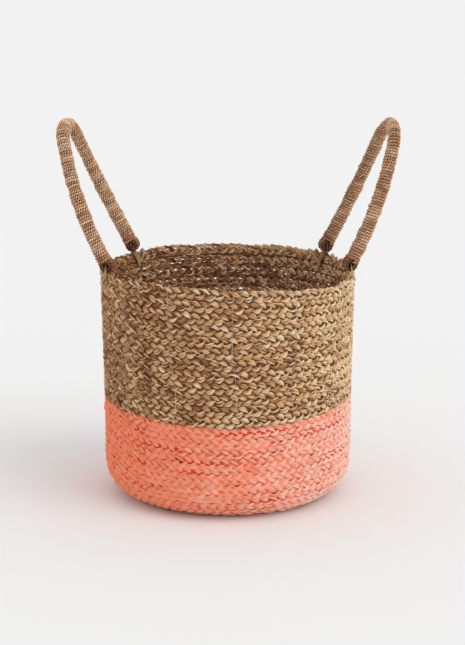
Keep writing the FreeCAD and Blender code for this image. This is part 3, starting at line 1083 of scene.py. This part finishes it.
@dataclass
class SewingThreads:
    """The thin threads that sew the turns together over the rim."""

    meridian: Meridian
    hand: HandWork
    seed: int = 11
    stem: str = "stitch_thread"
    thickness: float = 0.7 * MM
    proud: float = 2.95 * MM
    ripple: float = 1.0 * MM
    top: float = 3.6 * MM
    row: float = 14.4 * MM
    stray: float = 2.6 * MM

    def path(self, turn: float, foot_down: float, rng: np.random.Generator) -> np.ndarray:
        """Run a thread up the outside, over the rim and down the inside.

        Args:
            turn: Angle of the thread from the front.
            foot_down: Distance from the rim to its lower ends.
            rng: The seeded source of its unevenness.

        Returns:
            The thread's middle line.
        """
        leg = np.linspace(foot_down, self.top, 200)
        bend = np.linspace(0.0, math.pi, 16)[1:-1]
        down = np.concatenate([leg, self.top - self.top * np.sin(bend), leg[::-1]])
        proud = self.proud - self.ripple * np.cos(FULL_TURN * 2.0 * leg / self.row)
        proud = np.concatenate([proud, self.proud * np.cos(bend), -proud[::-1]])
        chance = Chance(rng, 1.0, len(down))
        stray = chance.wander(0.11) + 0.3 * chance.wander(0.03)
        angle = turn + self.stray / self.meridian.wall_radius * stray
        return self.meridian.place(angle, down - self.hand.lift(angle, down), proud)[0]

    def make(self, material: bpy.types.Material) -> None:
        """Build and dress every thread.

        Args:
            material: The threads' finish.
        """
        rng = np.random.default_rng(self.seed)
        half = self.thickness / 2
        nodes = sorted(node for node in frame["nodes"] if node.startswith(self.stem))
        for index, node in enumerate(nodes):
            turn = math.radians(self.hand.first_thread + index * self.hand.thread_step)
            path = self.path(turn, self.meridian.rim_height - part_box(node)[0].z, rng)
            rings = tube_rings(path, unit(path * np.array([1.0, 1.0, 0.0])), half, half, 6)
            tone = 0.5 + 0.15 * Chance(rng, 1.0, len(path)).wander(0.05)
            level = self.meridian.edge_height + self.hand.edge(np.array(turn))
            inside = np.hypot(path[:, 0], path[:, 1]) < self.meridian.wall_radius
            paint = np.where(inside, 0.0, smooth_step(-1.0 * MM, 1.0 * MM, level - path[:, 2]))
            strands = Strands(rng)
            strands.add(rings, tone[:, None], 1.0, np.linspace(0.0, 0.5, len(path)), float(index),
                        paint[:, None])
            dress(strands.build(node.replace("stitch", "sewing")), material, "basket",
                  "stitch_thread", node)


@dataclass(frozen=True)
class Rope:
    """A cord laid up of twisted plies."""

    thickness: float
    lay: float
    plies: int = 2
    samples: int = 6
    around: int = 6
    ridge: float = 0.08

    def run(self, strands: Strands, path: np.ndarray, away: np.ndarray,
            tone: np.ndarray) -> None:
        """Lay the cord along a path.

        Args:
            strands: The mesh that it joins.
            path: Points of the cord's middle.
            away: At each point, the way that its seen side faces.
            tone: How light it is at each point, 0 to 1.
        """
        distance = distances(path)
        length = float(distance[-1])
        chance = strands.chance(length, max(int(length / self.lay * self.samples), 12))
        even = chance.along()
        middle, facing = resample(path, distance, even), resample(away, distance, even)
        along = unit(np.gradient(middle, axis=0))
        side = unit(np.cross(facing, along))
        facing = np.cross(along, side)
        twist = even / self.lay * FULL_TURN + 0.5 * chance.wander(3 * self.lay)
        shade = np.interp(even, distance, tone) + 0.14 * chance.wander(9 * MM)
        half = self.thickness / 2
        for ply in range(self.plies):
            turn = (twist + ply * FULL_TURN / self.plies)[:, None]
            offset = 0.52 * half * (np.cos(turn) * facing + np.sin(turn) * side)
            girth = 0.5 * half * (1.0 + 0.1 * chance.wander(12 * MM))
            rings = tube_rings(middle + offset, facing, girth, girth, self.around,
                               chance.blades(self.around, self.ridge))
            # Painted shade: each ply is darker towards the cord's middle and its hidden side.
            radial = np.linalg.norm(rings - middle[:, None, :], axis=-1) / half
            front = standing(rings, middle, facing) / half
            crest = smooth_step(0.4, 1.0, radial) * smooth_step(-0.35, 0.85, front)
            blade = strands.rng.normal(0.0, 0.1, self.around)[None, :]
            strands.add(rings, shade[:, None] + blade, crest, even, chance.grain())


@dataclass
class Handle:
    """One bound handle: bundle, binding, feet and the lashings through its eyes.

    The offsets and reaches of the rope loops are in millimetres.
    """

    side: Side
    half_chord: float
    seed: int
    rise: float = 180.0 * MM
    grip_radius: float = 42.0 * MM
    lean: float = math.radians(22.3)
    bow: float = 5.5 * MM
    grip_girth: float = 8.6 * MM
    foot_girth: float = 9.8 * MM
    cord: Rope = Rope(4.0 * MM, 5.8 * MM, samples=8)
    cord_pitch: float = 3.7 * MM
    samples_per_wind: int = 30
    bare_foot: float = 5.2 * MM
    bundle_foot: float = 2.5 * MM
    loop: Rope = Rope(3.8 * MM, 8.0 * MM)
    loop_offsets: tuple[float, ...] = (-6.6, -3.3, 0.0, 3.3, 6.6)
    loop_reaches: tuple[float, ...] = (6.9, 4.1)
    loop_rise: float = 15.0 * MM
    eye_reach: float = 7.0 * MM
    eye_strand: float = 1.95 * MM
    blade_width: float = 3.8 * MM
    blade_depth: float = 0.34

    def __post_init__(self) -> None:
        """Read where the handle stands from its joint."""
        joint = next(entry for entry in frame["joints"] if entry["child"] == self.body)
        self.middle = np.array(joint["pos_m"], float)
        axis = np.array(joint["axis"], float)
        self.back = unit(axis * (1.0 if axis[1] > 0 else -1.0))
        self.level_out = np.array([self.back[1], -self.back[0], 0.0]) * self.side.value
        upright = np.array([0.0, 0.0, 1.0])
        self.up = upright * math.cos(self.lean) + self.level_out * math.sin(self.lean)
        self.out = self.level_out * math.cos(self.lean) - upright * math.sin(self.lean)

    @property
    def name(self) -> str:
        """Name of the handle's side."""
        return self.side.name.lower()

    @property
    def body(self) -> str:
        """Name of the body that the handle moves with."""
        return self.name + "_handle"

    def line(self, count: int) -> tuple[np.ndarray, np.ndarray]:
        """Sample the arch from the front eye to the back eye at even distances.

        Args:
            count: Number of samples.

        Returns:
            The points and their distances from the first.
        """
        grip_centre = self.rise - self.grip_radius
        half, grip = self.half_chord, self.grip_radius
        leg = (half ** 2 + grip_centre ** 2 - grip ** 2) / (2 * (half - grip))
        sweep = math.atan2(grip_centre, leg - half)
        low = np.linspace(0.0, sweep, 200)
        top = np.linspace(sweep, math.pi - sweep, 200)[1:]
        near = np.stack([half - leg + leg * np.cos(low), leg * np.sin(low)], axis=-1)
        arch = np.stack([grip * np.cos(top), grip_centre + grip * np.sin(top)], axis=-1)
        flat = np.concatenate([near, arch, near[::-1] * [-1.0, 1.0]])
        bowed = self.bow * 4.0 * (flat[:, 1] / self.rise) * (1.0 - flat[:, 1] / self.rise)
        points = (self.middle - flat[:, :1] * self.back + flat[:, 1:] * self.up
                  + bowed[:, None] * self.out)
        distance = distances(points)
        even = np.linspace(0.0, distance[-1], count)
        return resample(points, distance, even), even

    def frames(self, points: np.ndarray) -> tuple[np.ndarray, np.ndarray]:
        """Sideways and out at each point of the arch.

        Args:
            points: Points of the arch.

        Returns:
            The two directions at each point.
        """
        along = unit(np.gradient(points, axis=0))
        sideways = unit(np.cross(self.out[None, :], along))
        return sideways, np.cross(along, sideways)

    def girth(self, distance: np.ndarray, total: float) -> np.ndarray:
        """Outside radius along the handle, slim at the grip and fuller at the feet.

        Args:
            distance: Distances from the front eye.
            total: Distance from eye to eye.

        Returns:
            The radius at each distance.
        """
        share = np.abs(distance / total - 0.5) * 2.0
        return self.grip_girth + (self.foot_girth - self.grip_girth) * share ** 2.2

    def binding(self, rng: np.random.Generator) -> Strands:
        """Wind a two-ply cord round the bundle from foot to foot.

        Args:
            rng: The seeded source of its unevenness.

        Returns:
            The cord.
        """
        points, distance = self.line(900)
        total = float(distance[-1])
        length = total - 2 * self.bare_foot
        winds = length / self.cord_pitch
        strands = Strands(rng)
        chance = strands.chance(length, int(winds * self.samples_per_wind))
        slip = 0.09 * self.cord_pitch * chance.wander(8 * MM)
        ends = np.sin(np.linspace(0.0, math.pi, chance.count)) ** 0.3
        place = self.bare_foot + chance.along() + slip * ends
        middle, sideways, out = (resample(values, distance, place)
                                 for values in (points, *self.frames(points)))
        wind = np.linspace(0.0, winds * FULL_TURN, chance.count)[:, None]
        away = np.cos(wind) * sideways + np.sin(wind) * out
        radius = self.girth(place, total) - self.cord.thickness / 2
        radius = radius + 0.36 * MM * chance.wander(0.9 * MM) + 0.3 * MM * chance.wander(9 * MM)
        foot = np.minimum(place, total - place)
        tone = 0.63 + 0.06 * chance.wander(14 * MM)
        tone = tone - 0.22 * (1.0 - smooth_step(8 * MM, 26 * MM, foot))
        self.cord.run(strands, middle + radius[:, None] * away, away, tone)
        return strands

    def bundle(self, rng: np.random.Generator) -> Strands:
        """The bundle under the binding, with rope loops round each eye.

        Args:
            rng: The seeded source of its unevenness.

        Returns:
            The bundle and its loops.
        """
        points, distance = self.line(160)
        keep = (distance > self.bundle_foot) & (distance < distance[-1] - self.bundle_foot)
        points, distance = points[keep], distance[keep]
        radius = self.girth(distance, distance[-1] + self.bundle_foot) - self.cord.thickness * 0.8
        strands = Strands(rng)
        swell = strands.chance(400 * MM, len(points)).blades(16, 0.05)
        # The bundle gets a low crest, which darkens it all over with painted shade.
        strands.add(tube_rings(points, self.frames(points)[1], radius, radius, 16, swell),
                    0.35, 0.35, distance, 5.0)
        for foot in Foot:
            for offset in self.loop_offsets:
                for reach in self.loop_reaches:
                    self.foot_loop(strands, foot, offset * MM, reach * MM)
        return strands

    def eye(self, foot: Foot) -> np.ndarray:
        """Middle of the eye in a foot."""
        return self.middle + foot.value * self.half_chord * self.back

    def foot_loop(self, strands: Strands, foot: Foot, offset: float, reach: float) -> None:
        """Turn one rope down the leg, round the eye and up again.

        Args:
            strands: The mesh that it joins.
            foot: The foot that it belongs to.
            offset: Its place along the eye.
            reach: How far its middle stays from the eye's.
        """
        rise = np.linspace(self.loop_rise, 0.0, 16)
        turn = np.linspace(0.0, math.pi, 26)[1:-1]
        up = np.concatenate([rise, -reach * np.sin(turn), rise[::-1]])
        out = np.concatenate([np.full(16, reach), reach * np.cos(turn), np.full(16, -reach)])
        narrow = 1.0 - 0.4 * smooth_step(2 * MM, 12 * MM, up)
        path = (self.eye(foot) + (offset * narrow)[:, None] * self.back
                + (out * narrow)[:, None] * self.out + up[:, None] * self.up)
        below = np.minimum(up, 0.0)[:, None] * self.up
        away = unit(out[:, None] * self.out + below + 0.35 * offset * self.back)
        tone = np.full(len(path), 0.5 + strands.rng.uniform(-0.14, 0.14))
        self.loop.run(strands, path, away, tone)

    def lashing(self, rng: np.random.Generator, foot: Foot, meridian: Meridian) -> Strands:
        """Blades through an eye and over the rim beside it, crossed on the inside.

        Args:
            rng: The seeded source of their unevenness.
            foot: Which foot is lashed.
            meridian: The wall that it is lashed to.

        Returns:
            The blades.
        """
        eye = self.eye(foot)
        middle = math.atan2(eye[0], -eye[1])
        chord = self.back * foot.value
        level = np.array([math.cos(middle), math.sin(middle), 0.0])
        away = math.copysign(1.0, float(level @ chord))
        skin = meridian.thickness / 2 + 0.6 * MM

        def wall(slip: float, down: float, proud: float) -> np.ndarray:
            """Find a point of the wall beside the foot, all in millimetres."""
            angle = np.array(middle + away * slip * MM / meridian.rim_radius)
            return meridian.place(angle, np.array(down * MM), np.array(proud * MM))[0]

        face = skin / MM
        strands = Strands(rng)
        for shift, slip, depth in ((-1.2, 20.0, 17.0), (0.0, 8.0, 20.0), (1.2, 14.0, 15.0)):
            lift = np.array([0.0, 0.0, shift * MM])
            points = [wall(slip * 1.1, depth + 3, -face + 3), wall(slip, depth, -face - 0.3),
                      wall(slip * 0.45, 10, -face - 0.6), eye - chord * 9.5 * MM + lift * 0.5,
                      eye + lift, eye + chord * 9.5 * MM + lift * 0.5,
                      wall(7 + shift * 2.5, 2, face + 0.8), wall(4 + shift * 3, 6, face + 0.2),
                      wall(3 + shift * 3, 9.5, face - 3.5)]
            self.blade(strands, points, eye)
        over = [wall(20, 9, face - 3), wall(20, 5, face + 0.3), wall(19, -0.5, face - 2.2),
                wall(18, -0.9, 2.5 - face), wall(15.5, 5, -face - 0.6), wall(8, 15, -face - 1.2),
                wall(6, 19, -face + 2.5)]
        self.blade(strands, over, eye)
        # A strand through the eye, all in painted shade, so that the eye reads as a dark hole.
        through = np.linspace(-self.eye_reach, self.eye_reach, 12)
        rings = tube_rings(eye + through[:, None] * self.back, self.up, self.eye_strand,
                           self.eye_strand, 12)
        strands.add(rings, 0.3, 0.0, through, 0.0)
        return strands

    def blade(self, strands: Strands, points: Sequence[np.ndarray], eye: np.ndarray) -> None:
        """Lay one flat, folded blade through a few points.

        Args:
            strands: The mesh that it joins.
            points: Points that it passes.
            eye: Middle of the eye, where the blade is darkened with painted shade.
        """
        path = smooth_line(points, 110)
        chance = strands.chance(100 * MM, len(path))
        radial = unit(path * np.array([1.0, 1.0, 0.0]))
        half = self.blade_width / 2 * (1.0 + 0.12 * chance.wander(15 * MM))
        half = half * np.minimum(1.0, 0.3 + 8.0 * np.linspace(0.0, 1.0, len(path)))
        rings = tube_rings(path, radial, half, half * self.blade_depth, 10, chance.blades(10, 0.16))
        tone = 0.5 + strands.rng.normal(0.0, 0.12, 10)[None, :]
        # Painted shade: the blade darkens near the eye.
        crest = 0.92 * smooth_step(8.5 * MM, 13 * MM, np.linalg.norm(path - eye, axis=1))
        strands.add(rings, tone, crest[:, None], chance.along(), chance.grain())

    def make(self, meridian: Meridian, binding: bpy.types.Material,
             bundle: bpy.types.Material, blade: bpy.types.Material) -> None:
        """Build and dress the handle and its lashings.

        Args:
            meridian: The wall that the feet are lashed to.
            binding: Finish of the cord.
            bundle: Finish of the bundle.
            blade: Finish of the lashings.
        """
        rng = np.random.default_rng(self.seed)
        dress(self.binding(rng).build(self.body + "_cord"), binding, self.body,
              "handle_binding", self.body + "_binding")
        dress(self.bundle(rng).build(self.body + "_bundle"), bundle, self.body,
              "handle_core", self.body + "_core")
        for foot in Foot:
            node = "%s_%s_lashing" % (self.name, foot.name.lower())
            dress(self.lashing(rng, foot, meridian).build(node + "_blades"), blade, "basket",
                  "lashing_strand", node)


@dataclass
class Studio:
    """A pale floor, soft light from the right and the camera."""

    backdrop: Colour = srgb(242, 242, 242)
    floor_size: float = 60.0
    camera_place: tuple[float, float, float] = (6.3 * MM, -2.356, 0.7417)
    camera_tip: float = math.radians(90.0 - 12.49)
    lens: float = 104.7
    sky: float = 0.83
    key: float = 0.9
    key_spread: float = math.radians(48.0)
    key_way: tuple[float, float, float] = (-0.85, 0.55, -0.75)

    def floor(self) -> None:
        """Lay the floor: it shows the backdrop's colour and keeps the shadow."""
        half = self.floor_size / 2
        mesh = bpy.data.meshes.new("floor")
        mesh.from_pydata([(-half, -half, 0), (half, -half, 0), (half, half, 0), (-half, half, 0)],
                         [], [(0, 1, 2, 3)])
        graph = Graph("floor")
        matt = graph.node("ShaderNodeBsdfDiffuse", {}, {"Color": self.backdrop})
        graph.tree.links.new(matt.socket, graph.output.inputs["Surface"])
        mesh.materials.append(graph.material)
        add_object("floor", mesh)

    def light(self) -> None:
        """Set the even sky and the soft key light."""
        world = bpy.data.worlds.new("studio")
        world.use_nodes = True
        background = world.node_tree.nodes["Background"]
        background.inputs["Color"].default_value = (1.0, 1.0, 1.0, 1.0)
        background.inputs["Strength"].default_value = self.sky
        bpy.context.scene.world = world
        lamp = bpy.data.lights.new("key", "SUN")
        lamp.energy = self.key
        lamp.angle = self.key_spread
        turn = Vector(self.key_way).to_track_quat("-Z", "Y")
        add_object("key", lamp).rotation_euler = turn.to_euler()

    def camera(self) -> None:
        """Place the camera."""
        lens = bpy.data.cameras.new("camera")
        lens.lens = self.lens
        lens.clip_end = 200.0
        camera = add_object("camera", lens)
        camera.location = self.camera_place
        camera.rotation_euler = (self.camera_tip, 0.0, 0.0)
        bpy.context.scene.camera = camera

    def make(self) -> None:
        """Build the whole set."""
        self.floor()
        self.light()
        self.camera()
        bpy.context.scene.view_settings.view_transform = "Standard"


def dress(piece: bpy.types.Object, material: bpy.types.Material, body: str, slot: str,
          *nodes: str) -> None:
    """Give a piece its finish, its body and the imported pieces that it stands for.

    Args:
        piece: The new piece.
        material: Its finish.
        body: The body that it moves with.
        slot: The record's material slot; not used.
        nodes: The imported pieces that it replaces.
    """
    piece.data.materials.append(material)
    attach(piece, body)
    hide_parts(*nodes)
    LOG.info("%s: %d faces, stands for %s", piece.name, len(piece.data.polygons), ", ".join(nodes))


def main() -> None:
    """Build the set and every piece of the basket."""
    logging.basicConfig(level=logging.INFO, format="%(message)s")
    Studio().make()
    meridian = Meridian.from_frame()
    hand = HandWork(meridian.edge_down)
    plait = SeagrassFinish().material("seagrass_plait")
    thread = SeagrassFinish(
        pale=srgb(232, 212, 196), light=srgb(222, 198, 180), middle=srgb(206, 180, 160),
        dark=srgb(182, 152, 130), shadow=srgb(140, 108, 86), russet=srgb(196, 164, 140),
    ).material("sewing_thread")
    cord = CordFinish(
        light=srgb(250, 219, 185), middle=srgb(214, 164, 125), dark=srgb(160, 101, 66),
        gap_shade=srgb(84, 36, 16)).material("binding_cord")
    bundle = CordFinish(
        light=srgb(196, 146, 108), middle=srgb(160, 108, 76), dark=srgb(114, 68, 44),
        gap_shade=srgb(54, 26, 14)).material("handle_bundle")
    blade = CordFinish(
        light=srgb(212, 184, 132), middle=srgb(172, 140, 92), dark=srgb(126, 94, 56),
        gap_shade=srgb(80, 50, 26)).material("lashing_blade")
    PlaitedWall(meridian, hand).make(plait)
    SewingThreads(meridian, hand).make(thread)
    for side, half_chord, seed in ((Side.LEFT, 75.4 * MM, 23), (Side.RIGHT, 68.45 * MM, 29)):
        Handle(side, half_chord, seed).make(meridian, cord, bundle, blade)
    bpy.context.view_layer.update()


if __name__ == "__main__":
    main()
